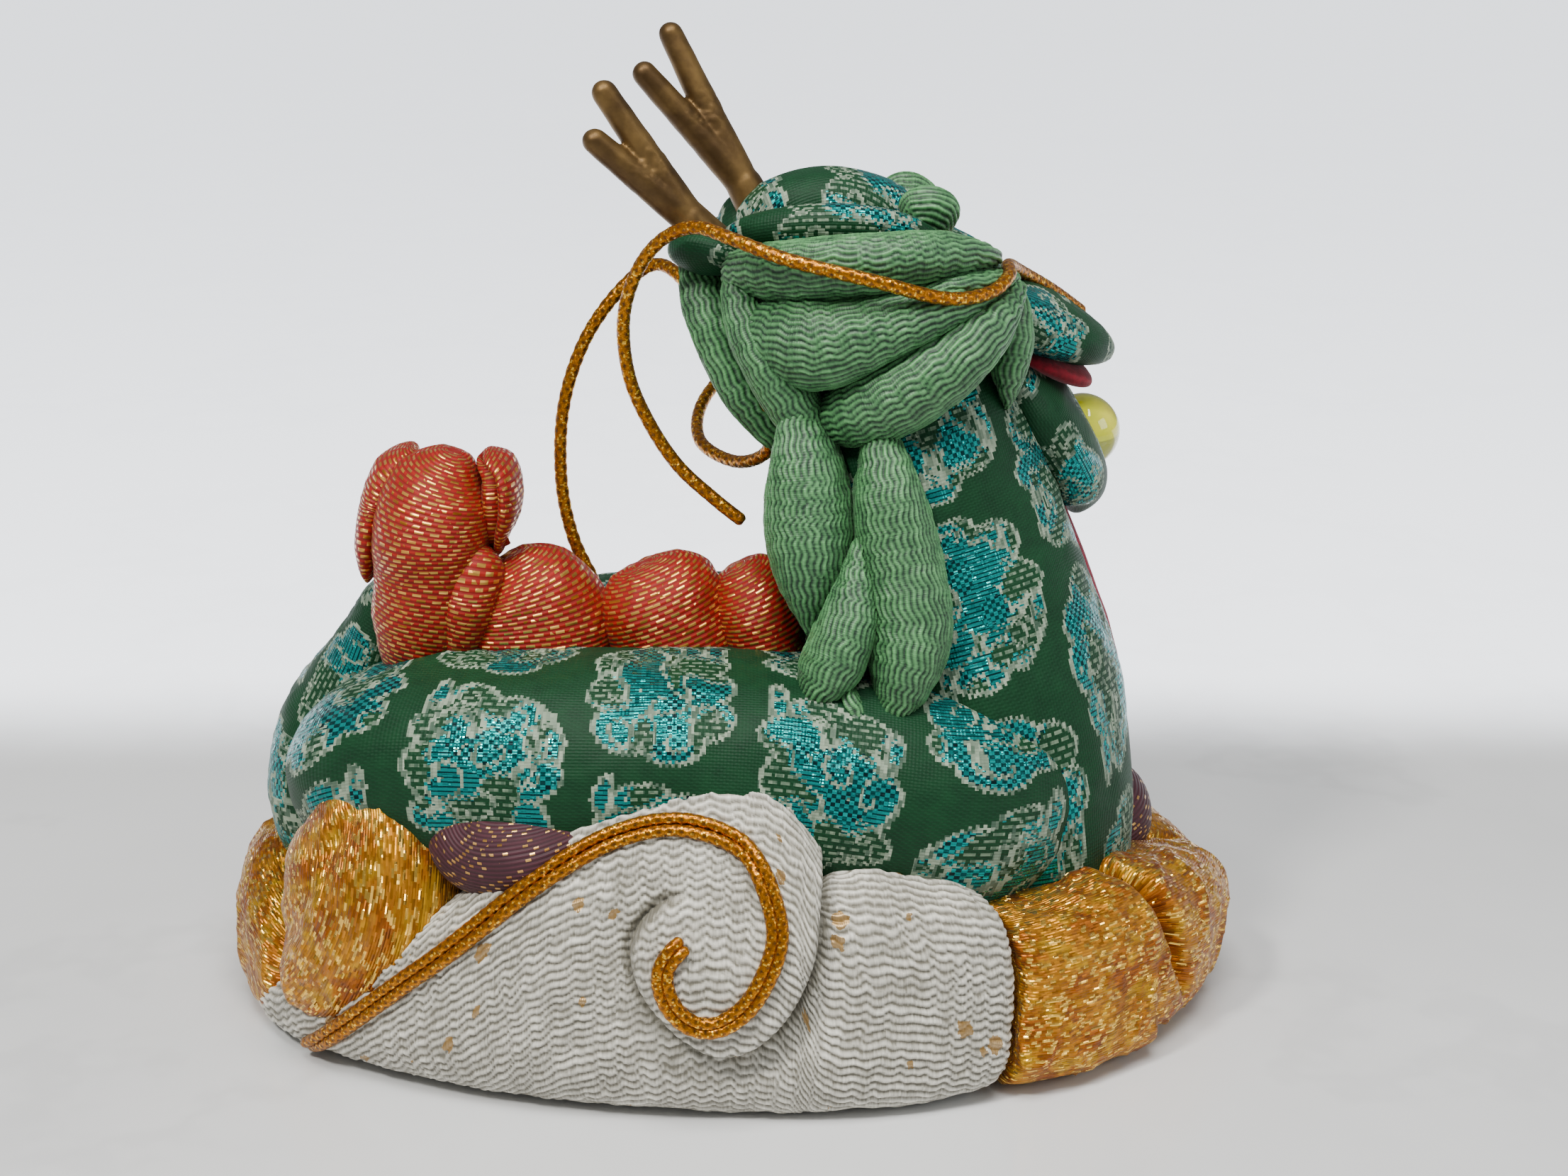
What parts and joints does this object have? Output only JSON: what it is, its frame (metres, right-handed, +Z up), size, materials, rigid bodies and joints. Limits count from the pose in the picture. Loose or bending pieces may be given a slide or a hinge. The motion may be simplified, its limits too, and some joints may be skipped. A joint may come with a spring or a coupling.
{
  "type": "padded dragon ornament",
  "caption": "Padded fabric dragon coiled on a cloud base, with a stuffed crepe mane, a red fin, forked horns, gold cord whiskers and a glass ball in its mouth.",
  "frame": {"origin": "middle of the underside, on the surface it stands on", "axes": "+X the way the dragon faces, +Y the far side, +Z up"},
  "size_m": [0.144, 0.099, 0.1352],
  "materials": {
    "underside_paper": "matte felt-like paper",
    "core_paste": "moulded sawdust paste, matte",
    "crepe_white": "white crepe with a silky wavy ridge and gold leaf flecks",
    "lame_gold": "gold metallic cloth, sparkling",
    "lame_purple": "purple-brown cloth with gold dashes",
    "belly_silk": "crimson silk",
    "brocade_green": "dark green satin brocade with woven cloud scrolls",
    "lame_red": "red-orange cloth woven with gold",
    "crepe_green": "light green silk crepe, wavy ridge",
    "felt_crimson": "felt",
    "glass_yellow": "polished yellow-green glass",
    "eye_gloss": "gloss, painted pupil",
    "bronze_paint": "satin bronze paint",
    "cord_gold": "braided metallic gold cord"
  },
  "bodies": {
    "root": {"underside_sheet": "underside_paper", "base_core": "core_paste", "neck_core": "core_paste", "head_core": "core_paste", "cloud_white_front": "crepe_white", "cloud_white_curl": "crepe_white", "cloud_gold_left_upper": "lame_gold", "cloud_gold_left_outer": "lame_gold", "cloud_purple_left": "lame_purple", "cloud_gold_right": "lame_gold", "cloud_gold_right_outer": "lame_gold", "cloud_purple_right": "lame_purple", "cloud_white_back": "crepe_white", "cloud_gold_back_left": "lame_gold", "cloud_gold_back_right": "lame_gold", "body_front": "brocade_green", "body_tail": "brocade_green", "body_back": "brocade_green", "neck_near": "brocade_green", "neck_far": "brocade_green", "neck_belly": "belly_silk", "fin_1": "lame_red", "fin_2": "lame_red", "fin_3": "lame_red", "fin_4": "lame_red", "tail_flame": "lame_red", "tail_flame_curl": "lame_red", "tail_flame_lobe": "lame_red", "mane_top_band": "crepe_green", "mane_middle": "crepe_green", "mane_upper_small": "crepe_green", "mane_diagonal": "crepe_green", "mane_cheek_tuft": "crepe_green", "mane_back_outer": "crepe_green", "mane_back_inner": "crepe_green", "mane_lower_left": "crepe_green", "mane_small": "crepe_green", "mane_lower_right": "crepe_green", "mane_tip": "crepe_green", "mane_nape": "crepe_green", "mane_far_top": "crepe_green", "mane_far_middle": "crepe_green", "mane_far_diagonal": "crepe_green", "mane_far_cheek": "crepe_green", "mane_far_lower": "crepe_green", "crown_near": "brocade_green", "crown_far": "brocade_green", "brows": "crepe_green", "face": "brocade_green", "horn_roots": "brocade_green", "upper_jaw": "brocade_green", "lower_jaw": "brocade_green", "mouth_lining": "felt_crimson", "glass_ball": "glass_yellow", "eyes": "eye_gloss", "horn_near": "bronze_paint", "horn_far": "bronze_paint", "whisker_near": "cord_gold", "whisker_far": "cord_gold", "cloud_cord": "cord_gold"}
  },
  "joints": []
}
